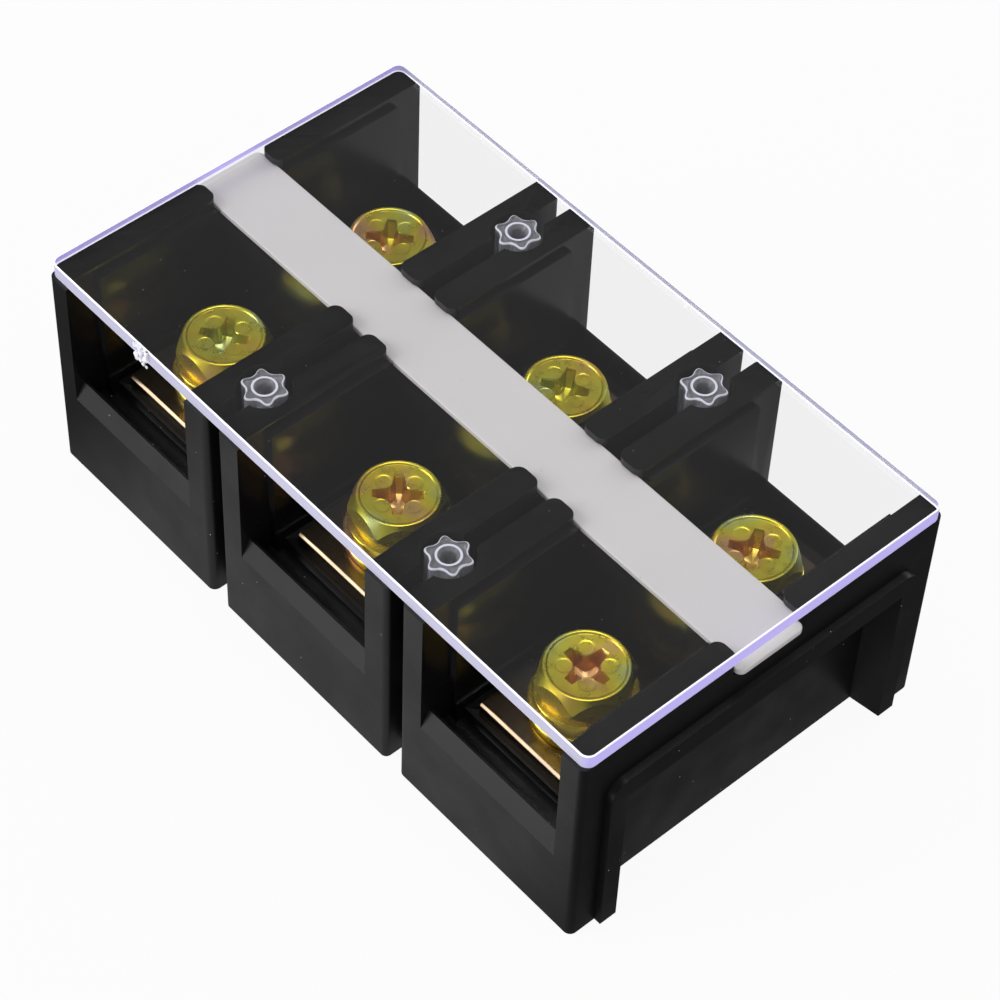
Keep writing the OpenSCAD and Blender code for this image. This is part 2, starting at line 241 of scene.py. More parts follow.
def rolledBrass():
    material, tree = newMaterial("rolledBrass")
    place = addNode(tree, "ShaderNodeTexCoord").outputs["Object"]
    stretched = addNode(tree, "ShaderNodeMapping", {
        "Vector": place, "Scale": (1.0, barFinish["brushStretch"], 1.0)})
    brush = addNode(tree, "ShaderNodeTexNoise", {
        "Vector": stretched.outputs[0], "Scale": 1 / barFinish["brush"], "Detail": 2.0})
    blotch = addNode(tree, "ShaderNodeTexNoise", {
        "Vector": place, "Scale": 1 / barFinish["blotch"], "Detail": 4.0})
    colour = addNode(tree, "ShaderNodeMix", {
        "Factor": blotch.outputs["Fac"], 6: linearColour(barFinish["metal"]),
        7: linearColour(barFinish["tarnish"])}, data_type="RGBA")
    sheen = addNode(tree, "ShaderNodeMapRange", {
        "Value": brush.outputs["Fac"], "To Min": barFinish["roughness"] * 0.7,
        "To Max": barFinish["roughness"] * 1.3})
    relief = addNode(tree, "ShaderNodeBump", {
        "Height": brush.outputs["Fac"], "Strength": 0.08, "Distance": barFinish["brushHeight"]})
    surface = addNode(tree, "ShaderNodeBsdfPrincipled", {
        "Base Color": colour.outputs[2], "Metallic": 1.0, "Roughness": sheen.outputs["Result"],
        "Normal": relief.outputs["Normal"]})
    addNode(tree, "ShaderNodeOutputMaterial", {"Surface": surface.outputs[0]})
    return material


barBrass = rolledBrass()
for pole in poles:
    bar = weldedCopy(f"contact_bar_{pole}", barFinish["rounding"], barFinish["roundingSteps"])
    bar.name = f"contactBar{pole}"
    bar.data.materials.append(barBrass)
    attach(bar, "base")
    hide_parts(f"contact_bar_{pole}")
print("barrier strip: contact bars")


# terminal screws and washers: steel, yellow zinc plate with a chromate that drifts to green, grey and rose

zincFinish = {
    "gold": "#ecd23e",
    "olive": "#dcd84a",
    "green": "#cfd890",
    "rose": "#e4b47c",
    "roughness": 0.31,
    "washerGold": "#e2c63c",
    "washerOlive": "#d0b43a",
    "washerRoughness": 0.26,
    "metallic": 0.88,
    "tintSize": 9 * mm,
    "wear": 1.6 * mm,
}


def yellowZinc(name, gold, olive, roughness):
    # not fully metallic: the chromate is a thin film that scatters a little of the light
    material, tree = newMaterial(name)
    place = addNode(tree, "ShaderNodeTexCoord").outputs["Object"]
    tint = addNode(tree, "ShaderNodeTexNoise", {
        "Vector": place, "Scale": 1 / zincFinish["tintSize"], "Detail": 1.0, "Distortion": 0.4})
    bands = addNode(tree, "ShaderNodeValToRGB", {"Fac": tint.outputs["Fac"]})
    bands.color_ramp.elements[0].position = 0.3
    bands.color_ramp.elements[0].color = linearColour(zincFinish["rose"])
    bands.color_ramp.elements[1].position = 0.72
    bands.color_ramp.elements[1].color = linearColour(zincFinish["green"])
    for position, hexText in ((0.42, gold), (0.58, olive)):
        bands.color_ramp.elements.new(position).color = linearColour(hexText)
    wear = addNode(tree, "ShaderNodeTexNoise", {
        "Vector": place, "Scale": 1 / zincFinish["wear"], "Detail": 3.0})
    sheen = addNode(tree, "ShaderNodeMapRange", {
        "Value": wear.outputs["Fac"], "From Min": 0.35, "From Max": 0.65,
        "To Min": roughness * 0.85, "To Max": roughness * 1.15})
    surface = addNode(tree, "ShaderNodeBsdfPrincipled", {
        "Base Color": bands.outputs["Color"], "Metallic": zincFinish["metallic"],
        "Roughness": sheen.outputs["Result"]})
    addNode(tree, "ShaderNodeOutputMaterial", {"Surface": surface.outputs[0]})
    return material


screwZinc = yellowZinc(
    "yellowZincScrew", zincFinish["gold"], zincFinish["olive"], zincFinish["roughness"])
washerZinc = yellowZinc(
    "yellowZincWasher", zincFinish["washerGold"], zincFinish["washerOlive"], zincFinish["washerRoughness"])

screwShape = {
    "acrossFlats": 13 * mm,
    "cornerRounding": 0.3 * mm,
    "cornerRadius": 7.4 * mm,
    "headHeight": 5.3 * mm,
    "topRadius": 6.2 * mm,
    "topChamfer": 63,
    "bottomRadius": 6.2 * mm,
    "bottomChamfer": 60,
    "edge": 0.12 * mm,
    "underLip": 0.02 * mm,
    "rimDrop": 0.05 * mm,
    "rimSlack": 0.01 * mm,
    "rimStart": 0.1 * mm,
    "rimEnd": 0.22 * mm,
    "rimInside": 0.08 * mm,
    "dishRadius": 5.75 * mm,
    "dishFlatRadius": 5.5 * mm,
    "dishDepth": 0.35 * mm,
    "dishBowl": 0.13 * mm,
    "dishRings": 30,
    "dishGrading": 1.5,
    "recessHalfSpan": 3.7 * mm,
    "recessHalfWing": 0.7 * mm,
    "recessEdge": 0.12 * mm,
    "recessDepth": 3.4 * mm,
    "recessToe": 0.6 * mm,
    "recessTaper": 0.32,
    "recessRings": 6,
    "lobeRadius": 1.3 * mm,
    "lobePlace": 3.15 * mm,
    "lobeDepth": 0.05 * mm,
    "lobeEdge": 0.15 * mm,
    "shankDiameter": 8 * mm,
    "shankLength": 16 * mm,
    "threadPitch": 1.25 * mm,
    "threadDepth": 0.55 * mm,
    "threadCrest": 0.06,
    "threadRoot": 0.42,
    "runOutStart": 1.2 * mm,
    "runOutEnd": 2.0 * mm,
    "tipChamfer": 1.0 * mm,
    "shankSteps": 96,
    "shankRings": 190,
    "steps": 360,
    "smoothWithin": 24,
}

# how far each screw was tightened, and where its cross recess stands on the hexagon, in degrees
screwTurns = {"front": (2, 55, 2), "rear": (54, 30, 32)}
crossTurns = {"front": (33, -8, 2), "rear": (-11, 2, 1)}


def hexagonRadius(angle):
    s = screwShape
    apothem, rounding = s["acrossFlats"] / 2, s["cornerRounding"]
    fromFlat = abs((angle % (math.pi / 3)) - math.pi / 6)
    cornerPlace = (apothem - rounding) / math.cos(math.pi / 6)
    fromCorner = math.pi / 6 - fromFlat
    if apothem * math.tan(fromFlat) <= (apothem - rounding) * math.tan(math.pi / 6):
        return apothem / math.cos(fromFlat)
    reach = rounding ** 2 - (cornerPlace * math.sin(fromCorner)) ** 2
    return cornerPlace * math.cos(fromCorner) + math.sqrt(max(reach, 0))


def recessRadius(angle):
    # four wings that narrow to their tips, with a round lobe of metal between each two
    s = screwShape
    fromWing = abs(((angle + math.pi / 4) % (math.pi / 2)) - math.pi / 4)
    waist = s["lobePlace"] * math.sin(math.pi / 4)
    waistHalf = waist - s["lobeRadius"]
    if fromWing > math.atan2(waistHalf, waist):
        aside = s["lobePlace"] * math.sin(math.pi / 4 - fromWing)
        ahead = s["lobePlace"] * math.cos(math.pi / 4 - fromWing)
        return ahead - math.sqrt(s["lobeRadius"] ** 2 - aside ** 2)
    slope = (waistHalf - s["recessHalfWing"]) / (s["recessHalfSpan"] - waist)
    along = (waistHalf + slope * waist) / (math.tan(fromWing) + slope)
    return min(along, s["recessHalfSpan"]) / math.cos(fromWing)


def softStep(value, low, high):
    t = min(max((value - low) / (high - low), 0), 1)
    return t * t * (3 - 2 * t)


def lobePress(radius, angle, crossTurn):
    # a shallow round dent between each two wings, where the punch pressed the metal down
    s = screwShape
    press = 0
    for quarter in range(4):
        direction = math.radians(crossTurn + 45 + 90 * quarter)
        away = math.hypot(radius * math.cos(angle) - s["lobePlace"] * math.cos(direction),
                          radius * math.sin(angle) - s["lobePlace"] * math.sin(direction))
        press += s["lobeDepth"] * (1 - softStep(away, s["lobeRadius"] - s["lobeEdge"], s["lobeRadius"]))
    return press


def headProfile(angle, crossTurn):
    # radius and height from the underside up the flat, over the rim, across the dish and down the recess
    s = screwShape
    top, edge = s["headHeight"], s["edge"]
    outer = min(hexagonRadius(angle), s["cornerRadius"])
    recess = recessRadius(angle - math.radians(crossTurn))
    upper = top - max(outer - s["topRadius"], 0) * math.tan(math.radians(s["topChamfer"]))
    lower = max(outer - s["bottomRadius"], 0) * math.tan(math.radians(s["bottomChamfer"]))
    line = [
        (s["bottomRadius"] - edge, 0),
        (outer - edge, lower + s["underLip"]),
        (outer, lower + edge),
        (outer, upper - edge),
        (outer - 0.5 * edge, upper - 0.2 * edge),
        (s["topRadius"], top - s["rimDrop"]),
        (s["topRadius"] - s["rimStart"], top - s["rimSlack"]),
        (s["topRadius"] - s["rimEnd"], top),
        (s["dishRadius"] + s["rimInside"], top - s["rimSlack"]),
        (s["dishRadius"], top - s["rimDrop"]),
    ]
    floor = top - s["dishDepth"]
    for k in range(1, s["dishRings"] + 1):
        t = (k / s["dishRings"]) ** s["dishGrading"]
        radius = s["dishRadius"] * (1 - t) + (recess + s["recessEdge"]) * t
        bowl = s["dishBowl"] * (radius / s["dishRadius"]) ** 2
        wall = softStep(radius, s["dishFlatRadius"], s["dishRadius"])
        dish = bowl + wall * (s["dishDepth"] - s["rimDrop"] - s["dishBowl"])
        line.append((radius, floor + dish - lobePress(radius, angle, crossTurn)))
    mouth = line[-1][1] - s["recessEdge"]
    line.append((recess, mouth))
    for k in range(1, s["recessRings"] + 1):
        t = k / s["recessRings"]
        line.append((recess * (1 - s["recessTaper"] * t), mouth - (s["recessDepth"] - s["recessToe"]) * t))
    return line


def headMesh(crossTurn):
    s = screwShape
    rings = []
    for step in range(s["steps"]):
        angle = 2 * math.pi * step / s["steps"]
        line = headProfile(angle, crossTurn)
        rings.append([(r * math.cos(angle), r * math.sin(angle), z) for r, z in line])
    bm = bmesh.new()
    grid = [[bm.verts.new(p) for p in line] for line in rings]
    under = bm.verts.new((0, 0, 0))
    deep = bm.verts.new((0, 0, s["headHeight"] - s["dishDepth"] - s["recessDepth"]))
    count = len(grid[0])
    for i, line in enumerate(grid):
        after = grid[(i + 1) % s["steps"]]
        for k in range(count - 1):
            bm.faces.new((line[k], after[k], after[k + 1], line[k + 1]))
        bm.faces.new((under, after[0], line[0]))
        bm.faces.new((deep, line[-1], after[-1]))
    mesh = bpy.data.meshes.new("headMesh")
    bm.to_mesh(mesh)
    bm.free()
    return mesh


def newTree(name, sockets):
    tree = bpy.data.node_groups.new(name, "GeometryNodeTree")
    tree.interface.new_socket("Geometry", in_out="INPUT", socket_type="NodeSocketGeometry")
    for label, kind in sockets:
        tree.interface.new_socket(label, in_out="INPUT", socket_type=kind)
    tree.interface.new_socket("Geometry", in_out="OUTPUT", socket_type="NodeSocketGeometry")
    return tree, addNode(tree, "NodeGroupInput")


def growPiece(piece, tree, values):
    grow = piece.modifiers.new("grow", "NODES")
    grow.node_group = tree
    for item in tree.interface.items_tree:
        if item.in_out == "INPUT" and item.name in values:
            grow[item.identifier] = values[item.name]
    return bakeModifiers(piece)


def screwTree():
    # the head comes in; a threaded shank is grown below it, and the screw is turned and set on its terminal
    tree, given = newTree("terminalScrewTree", (
        ("Shank Diameter", "NodeSocketFloat"), ("Shank Length", "NodeSocketFloat"),
        ("Thread Pitch", "NodeSocketFloat"), ("Thread Depth", "NodeSocketFloat"),
        ("Place", "NodeSocketVector"), ("Turn", "NodeSocketFloat"), ("Finish", "NodeSocketMaterial")))
    values = given.outputs
    radius = addNode(tree, "ShaderNodeMath", {0: values["Shank Diameter"], 1: 0.5}, operation="MULTIPLY")
    shank = addNode(tree, "GeometryNodeMeshCylinder", {
        "Vertices": screwShape["shankSteps"], "Side Segments": screwShape["shankRings"], "Fill Segments": 1,
        "Radius": radius.outputs[0], "Depth": values["Shank Length"]}, fill_type="TRIANGLE_FAN")
    position = addNode(tree, "GeometryNodeInputPosition").outputs[0]
    axes = addNode(tree, "ShaderNodeSeparateXYZ", {0: position})
    around = addNode(tree, "ShaderNodeMath", {
        0: axes.outputs["Y"], 1: axes.outputs["X"]}, operation="ARCTAN2")
    share = addNode(tree, "ShaderNodeMath", {0: around.outputs[0], 1: 2 * math.pi}, operation="DIVIDE")
    climbed = addNode(tree, "ShaderNodeMath", {
        0: axes.outputs["Z"], 1: values["Thread Pitch"]}, operation="DIVIDE")
    phase = addNode(tree, "ShaderNodeMath", {
        0: climbed.outputs[0], 1: share.outputs[0]}, operation="SUBTRACT")
    wave = addNode(tree, "ShaderNodeMath", {0: phase.outputs[0], 1: 0.5}, operation="PINGPONG")
    cutShare = addNode(tree, "ShaderNodeMapRange", {
        "Value": wave.outputs[0], "From Min": screwShape["threadCrest"], "From Max": screwShape["threadRoot"],
        "To Min": 0.0, "To Max": 1.0})
    # the thread runs out just under the head, and the end is chamfered
    half = addNode(tree, "ShaderNodeMath", {0: values["Shank Length"], 1: 0.5}, operation="MULTIPLY")
    below = addNode(tree, "ShaderNodeMath", {0: half.outputs[0], 1: axes.outputs["Z"]}, operation="SUBTRACT")
    above = addNode(tree, "ShaderNodeMath", {0: half.outputs[0], 1: axes.outputs["Z"]}, operation="ADD")
    runOut = addNode(tree, "ShaderNodeMapRange", {
        "Value": below.outputs[0], "From Min": screwShape["runOutStart"], "From Max": screwShape["runOutEnd"],
        "To Min": 0.0, "To Max": 1.0})
    tip = addNode(tree, "ShaderNodeMapRange", {
        "Value": above.outputs[0], "From Min": 0.0, "From Max": screwShape["tipChamfer"],
        "To Min": screwShape["tipChamfer"], "To Max": 0.0})
    groove = addNode(tree, "ShaderNodeMath", {
        0: cutShare.outputs["Result"], 1: values["Thread Depth"]}, operation="MULTIPLY")
    cut = addNode(tree, "ShaderNodeMath", {
        0: groove.outputs[0], 1: runOut.outputs["Result"]}, operation="MULTIPLY")
    deepest = addNode(tree, "ShaderNodeMath", {
        0: cut.outputs[0], 1: tip.outputs["Result"]}, operation="MAXIMUM")
    left = addNode(tree, "ShaderNodeMath", {
        0: radius.outputs[0], 1: deepest.outputs[0]}, operation="SUBTRACT")
    scale = addNode(tree, "ShaderNodeMath", {0: left.outputs[0], 1: radius.outputs[0]}, operation="DIVIDE")
    squeeze = addNode(tree, "ShaderNodeCombineXYZ", {"X": scale.outputs[0], "Y": scale.outputs[0], "Z": 1.0})
    threaded = addNode(tree, "ShaderNodeVectorMath", {
        0: position, 1: squeeze.outputs[0]}, operation="MULTIPLY")
    cutShank = addNode(tree, "GeometryNodeSetPosition", {
        "Geometry": shank.outputs["Mesh"], "Position": threaded.outputs[0]})
    drop = addNode(tree, "ShaderNodeMath", {0: half.outputs[0], 1: -1.0}, operation="MULTIPLY")
    dropPlace = addNode(tree, "ShaderNodeCombineXYZ", {"Z": drop.outputs[0]})
    lowered = addNode(tree, "GeometryNodeTransform", {
        "Geometry": cutShank.outputs[0], "Translation": dropPlace.outputs[0]})
    whole = addNode(tree, "GeometryNodeJoinGeometry", {0: given.outputs["Geometry"]})
    tree.links.new(lowered.outputs[0], whole.inputs[0])
    spot = addNode(tree, "GeometryNodePoints", {"Count": 1, "Position": values["Place"]})
    turned = addNode(tree, "ShaderNodeCombineXYZ", {"Z": values["Turn"]})
    turnedUp = addNode(tree, "FunctionNodeEulerToRotation", {0: turned.outputs[0]})
    placed = addNode(tree, "GeometryNodeInstanceOnPoints", {
        "Points": spot.outputs[0], "Instance": whole.outputs[0], "Rotation": turnedUp.outputs[0]})
    real = addNode(tree, "GeometryNodeRealizeInstances", {0: placed.outputs[0]})
    finished = addNode(tree, "GeometryNodeSetMaterial", {
        "Geometry": real.outputs[0], "Material": values["Finish"]})
    addNode(tree, "NodeGroupOutput", {0: finished.outputs[0]})
    return tree


washerShape = {
    "springDiameter": 14.8 * mm,
    "springThickness": 2 * mm,
    "springEdge": 0.3 * mm,
    "flatDiameter": 16 * mm,
    "flatThickness": 1.6 * mm,
    "flatEdge": 0.28 * mm,
    "bore": 8.16 * mm,
    "split": 0.7 * mm,
    "splitSlope": 25,
    "splitReach": 4 * mm,
    "ringSteps": 128,
    "smoothWithin": 30,
}


def washerTree():
    # two rings on one terminal: a flat one, and above it a split one whose ends are cut on a slant
    tree, given = newTree("washerPairTree", (
        ("Spring Diameter", "NodeSocketFloat"), ("Spring Thickness", "NodeSocketFloat"),
        ("Spring Edge", "NodeSocketFloat"), ("Flat Diameter", "NodeSocketFloat"),
        ("Flat Thickness", "NodeSocketFloat"), ("Flat Edge", "NodeSocketFloat"),
        ("Bore", "NodeSocketFloat"), ("Split", "NodeSocketFloat"), ("Slant", "NodeSocketFloat"),
        ("Place", "NodeSocketVector"), ("Finish", "NodeSocketMaterial")))
    values = given.outputs
    rings = []
    for kind in ("Flat", "Spring"):
        across = addNode(tree, "ShaderNodeMath", {
            0: values[kind + " Diameter"], 1: values["Bore"]}, operation="SUBTRACT")
        width = addNode(tree, "ShaderNodeMath", {0: across.outputs[0], 1: 0.5}, operation="MULTIPLY")
        total = addNode(tree, "ShaderNodeMath", {
            0: values[kind + " Diameter"], 1: values["Bore"]}, operation="ADD")
        middle = addNode(tree, "ShaderNodeMath", {0: total.outputs[0], 1: 0.25}, operation="MULTIPLY")
        section = addNode(tree, "GeometryNodeCurvePrimitiveQuadrilateral", {
            "Width": width.outputs[0], "Height": values[kind + " Thickness"]}, mode="RECTANGLE")
        rounded = addNode(tree, "GeometryNodeFilletCurve", {
            "Curve": section.outputs[0], "Radius": values[kind + " Edge"], "Count": 4}, mode="POLY")
        if kind == "Flat":
            path = addNode(tree, "GeometryNodeCurvePrimitiveCircle", {
                "Resolution": washerShape["ringSteps"], "Radius": middle.outputs[0]}, mode="RADIUS")
        else:
            opening = addNode(tree, "ShaderNodeMath", {
                0: values["Split"], 1: middle.outputs[0]}, operation="DIVIDE")
            halfOpening = addNode(tree, "ShaderNodeMath", {
                0: opening.outputs[0], 1: 0.5}, operation="MULTIPLY")
            sweep = addNode(tree, "ShaderNodeMath", {
                0: 2 * math.pi, 1: opening.outputs[0]}, operation="SUBTRACT")
            path = addNode(tree, "GeometryNodeCurveArc", {
                "Resolution": washerShape["ringSteps"], "Radius": middle.outputs[0],
                "Start Angle": halfOpening.outputs[0], "Sweep Angle": sweep.outputs[0]}, mode="RADIUS")
        ring = addNode(tree, "GeometryNodeCurveToMesh", {
            "Curve": path.outputs[0], "Profile Curve": rounded.outputs[0], "Fill Caps": kind == "Spring"})
        rings.append(ring)
    # slant: points near the split slide round the ring in proportion to their height
    position = addNode(tree, "GeometryNodeInputPosition").outputs[0]
    axes = addNode(tree, "ShaderNodeSeparateXYZ", {0: position})
    nearSplit = addNode(tree, "ShaderNodeMapRange", {
        "Value": axes.outputs["X"], "From Min": 0.0, "From Max": washerShape["splitReach"],
        "To Min": 0.0, "To Max": 1.0})
    lean = addNode(tree, "ShaderNodeMath", {0: axes.outputs["Z"], 1: values["Slant"]}, operation="MULTIPLY")
    leanHere = addNode(tree, "ShaderNodeMath", {
        0: lean.outputs[0], 1: nearSplit.outputs["Result"]}, operation="MULTIPLY")
    slide = addNode(tree, "ShaderNodeCombineXYZ", {"Y": leanHere.outputs[0]})
    slanted = addNode(tree, "GeometryNodeSetPosition", {
        "Geometry": rings[1].outputs[0], "Offset": slide.outputs[0]})
    flatHalf = addNode(tree, "ShaderNodeMath", {0: values["Flat Thickness"], 1: 0.5}, operation="MULTIPLY")
    flatUp = addNode(tree, "ShaderNodeCombineXYZ", {"Z": flatHalf.outputs[0]})
    flatPlaced = addNode(tree, "GeometryNodeTransform", {
        "Geometry": rings[0].outputs[0], "Translation": flatUp.outputs[0]})
    springHalf = addNode(tree, "ShaderNodeMath", {
        0: values["Spring Thickness"], 1: 0.5}, operation="MULTIPLY")
    springUp = addNode(tree, "ShaderNodeMath", {
        0: values["Flat Thickness"], 1: springHalf.outputs[0]}, operation="ADD")
    springRise = addNode(tree, "ShaderNodeCombineXYZ", {"Z": springUp.outputs[0]})
    springPlaced = addNode(tree, "GeometryNodeTransform", {
        "Geometry": slanted.outputs[0], "Translation": springRise.outputs[0]})
    pair = addNode(tree, "GeometryNodeJoinGeometry", {0: flatPlaced.outputs[0]})
    tree.links.new(springPlaced.outputs[0], pair.inputs[0])
    spot = addNode(tree, "GeometryNodePoints", {"Count": 1, "Position": values["Place"]})
    placed = addNode(tree, "GeometryNodeInstanceOnPoints", {
        "Points": spot.outputs[0], "Instance": pair.outputs[0]})
    real = addNode(tree, "GeometryNodeRealizeInstances", {0: placed.outputs[0]})
    finished = addNode(tree, "GeometryNodeSetMaterial", {
        "Geometry": real.outputs[0], "Material": values["Finish"]})
    addNode(tree, "NodeGroupOutput", {0: finished.outputs[0]})
    return tree


screwNodes = screwTree()
washerNodes = washerTree()
for row in rows:
    for pole in poles:
        headNode = f"{row}_screw_{pole}"
        low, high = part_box(f"{row}_flat_washer_{pole}")
        washerPlace = Vector(((low.x + high.x) / 2, (low.y + high.y) / 2, low.z))
        headPlace = Vector((washerPlace.x, washerPlace.y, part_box(f"{row}_spring_washer_{pole}")[1].z))
        screw = meshObject(f"{row}Screw{pole}", headMesh(crossTurns[row][pole - 1]))
        growPiece(screw, screwNodes, {
            "Shank Diameter": screwShape["shankDiameter"], "Shank Length": screwShape["shankLength"],
            "Thread Pitch": screwShape["threadPitch"], "Thread Depth": screwShape["threadDepth"],
            "Place": headPlace, "Turn": math.radians(screwTurns[row][pole - 1]), "Finish": screwZinc})
        smoothByAngle(screw.data, screwShape["smoothWithin"])
        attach(screw, headNode)
        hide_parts(headNode)
        washers = meshObject(f"{row}Washers{pole}", bpy.data.meshes.new(f"{row}WasherMesh{pole}"))
        growPiece(washers, washerNodes, {
            "Spring Diameter": washerShape["springDiameter"],
            "Spring Thickness": washerShape["springThickness"],
            "Spring Edge": washerShape["springEdge"], "Flat Diameter": washerShape["flatDiameter"],
            "Flat Thickness": washerShape["flatThickness"], "Flat Edge": washerShape["flatEdge"],
            "Bore": washerShape["bore"], "Split": washerShape["split"],
            "Slant": math.tan(math.radians(washerShape["splitSlope"])),
            "Place": washerPlace, "Finish": washerZinc})
        smoothByAngle(washers.data, washerShape["smoothWithin"])
        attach(washers, f"{row}_washers_{pole}")
        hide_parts(f"{row}_spring_washer_{pole}", f"{row}_flat_washer_{pole}")
print("barrier strip: screws and washers")


# marker strip: extruded rigid vinyl, off-white, matt

stripFinish = {
    "body": "#d9d6d5",
    "shade": "#cdc9c9",
    "speck": "#8a8683",
    "roughness": 0.42,
    "ior": 1.53,
    "cloud": 22 * mm,
    "speckSpacing": 3.4 * mm,
    "speckSize": 0.03,
    "grain": 0.4 * mm,
    "grainHeight": 0.02 * mm,
    "rounding": 0.22 * mm,
    "roundingSteps": 3,
}


def rigidVinyl():
    material, tree = newMaterial("rigidVinyl")
    place = addNode(tree, "ShaderNodeTexCoord").outputs["Object"]
    cloud = addNode(tree, "ShaderNodeTexNoise", {
        "Vector": place, "Scale": 1 / stripFinish["cloud"], "Detail": 2.0})
    colour = addNode(tree, "ShaderNodeMix", {
        "Factor": cloud.outputs["Fac"], 6: linearColour(stripFinish["body"]),
        7: linearColour(stripFinish["shade"])}, data_type="RGBA")
    spots = addNode(tree, "ShaderNodeTexVoronoi", {"Vector": place, "Scale": 1 / stripFinish["speckSpacing"]})
    speck = addNode(tree, "ShaderNodeMath", {
        0: spots.outputs["Distance"], 1: stripFinish["speckSize"]}, operation="LESS_THAN")
    marked = addNode(tree, "ShaderNodeMix", {
        "Factor": speck.outputs[0], 6: colour.outputs[2],
        7: linearColour(stripFinish["speck"])}, data_type="RGBA")
    grain = addNode(tree, "ShaderNodeTexNoise", {
        "Vector": place, "Scale": 1 / stripFinish["grain"], "Detail": 2.0})
    relief = addNode(tree, "ShaderNodeBump", {
        "Height": grain.outputs["Fac"], "Strength": 0.08, "Distance": stripFinish["grainHeight"]})
    surface = addNode(tree, "ShaderNodeBsdfPrincipled", {
        "Base Color": marked.outputs[2], "Roughness": stripFinish["roughness"], "IOR": stripFinish["ior"],
        "Normal": relief.outputs["Normal"]})
    addNode(tree, "ShaderNodeOutputMaterial", {"Surface": surface.outputs[0]})
    return material


strip = weldedCopy("marker_strip", stripFinish["rounding"], stripFinish["roundingSteps"])
strip.name = "markerStrip"
strip.data.materials.append(rigidVinyl())
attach(strip, "marker_strip")
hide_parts("marker_strip")
print("barrier strip: marker strip")


# cover: injection-moulded clear polycarbonate, lavender where light runs out of its edges, painted on as a
# glow

coverFinish = {
    "clear": "#fdfdfe",
    # edgeSide, edgeEnd and edgeGlow: painted lavender glow on the cover's edge faces
    "edgeSide": "#aeadc2",
    "edgeEnd": "#c3b8fb",
    # corner and rim: painted highlights on the rounded edges of the plate and the pins
    "corner": "#f6f5fc",
    "rim": "#c4c4d0",
    "frost": "#f2f2f8",
    "torn": "#f3f2f8",
    "edgeGlow": 0.35,
    "edgeRoughness": 0.25,
    "frostRoughness": 0.07,
    "tornRoughness": 0.55,
    "ior": 1.585,
}


def clearPolycarbonate():
    # clear sheet: what lies under it shows shifted but sharp
    material, tree = newMaterial("clearPolycarbonate")
    path = addNode(tree, "ShaderNodeLightPath")
    surface = addNode(tree, "ShaderNodeBsdfPrincipled", {
        "Base Color": linearColour(coverFinish["clear"]), "Transmission Weight": 1.0, "Roughness": 0.0,
        "IOR": coverFinish["ior"]})
    through = addNode(tree, "ShaderNodeBsdfTransparent", {"Color": linearColour(coverFinish["clear"])})
    # lamps and scattered light pass straight, so that the cells below are lit as through clear sheet
    straight = addNode(tree, "ShaderNodeMath", {
        0: path.outputs["Is Shadow Ray"], 1: path.outputs["Is Diffuse Ray"]}, operation="MAXIMUM")
    mixed = addNode(tree, "ShaderNodeMixShader", {
        0: straight.outputs[0], 1: surface.outputs[0], 2: through.outputs[0]})
    addNode(tree, "ShaderNodeOutputMaterial", {"Surface": mixed.outputs[0]})
    return material


def paintedEdgeGlow():
    # painted glow: the edge is given the light that the sheet carries as a lavender emission, deeper at the
    # ends, after the whole length
    f = coverFinish
    material, tree = newMaterial("polycarbonateEdgeGlow")
    across = addNode(tree, "ShaderNodeSeparateXYZ", {
        0: addNode(tree, "ShaderNodeTexCoord").outputs["Normal"]})
    endward = addNode(tree, "ShaderNodeMath", {0: across.outputs["X"]}, operation="ABSOLUTE")
    colour = addNode(tree, "ShaderNodeMix", {
        "Factor": endward.outputs[0], 6: linearColour(f["edgeSide"]), 7: linearColour(f["edgeEnd"])},
        data_type="RGBA")
    surface = addNode(tree, "ShaderNodeBsdfPrincipled", {
        "Base Color": colour.outputs[2], "Roughness": f["edgeRoughness"], "IOR": f["ior"],
        "Emission Color": colour.outputs[2], "Emission Strength": f["edgeGlow"]})
    addNode(tree, "ShaderNodeOutputMaterial", {"Surface": surface.outputs[0]})
    return material


def paintedRoundingHighlight(name, hexText):
    # painted highlight: rounded edges are given the light they gather from all sides as a pale emission, so
    # they show as thin pale lines
    material, tree = newMaterial(name)
    surface = addNode(tree, "ShaderNodeBsdfPrincipled", {
        "Base Color": linearColour(hexText), "Roughness": coverFinish["edgeRoughness"],
        "IOR": coverFinish["ior"], "Emission Color": linearColour(hexText),
        "Emission Strength": coverFinish["edgeGlow"]})
    addNode(tree, "ShaderNodeOutputMaterial", {"Surface": surface.outputs[0]})
    return material


def frostedPin():
    # the pins stay a little milky, because their cores in the mould aren't polished
    material, tree = newMaterial("milkyPolycarbonate")
    surface = addNode(tree, "ShaderNodeBsdfPrincipled", {
        "Base Color": linearColour(coverFinish["frost"]), "Roughness": coverFinish["frostRoughness"],
        "IOR": coverFinish["ior"], "Transmission Weight": 0.8})
    addNode(tree, "ShaderNodeOutputMaterial", {"Surface": surface.outputs[0]})
    return material


coverGlass, pinFrost = clearPolycarbonate(), frostedPin()
coverEdgeGlow = paintedEdgeGlow()
# painted highlights for the plate's rounded edges and the pins' rims
coverCornerHighlight = paintedRoundingHighlight("polycarbonateCornerHighlight", coverFinish["corner"])
pinRim = paintedRoundingHighlight("polycarbonateRimHighlight", coverFinish["rim"])

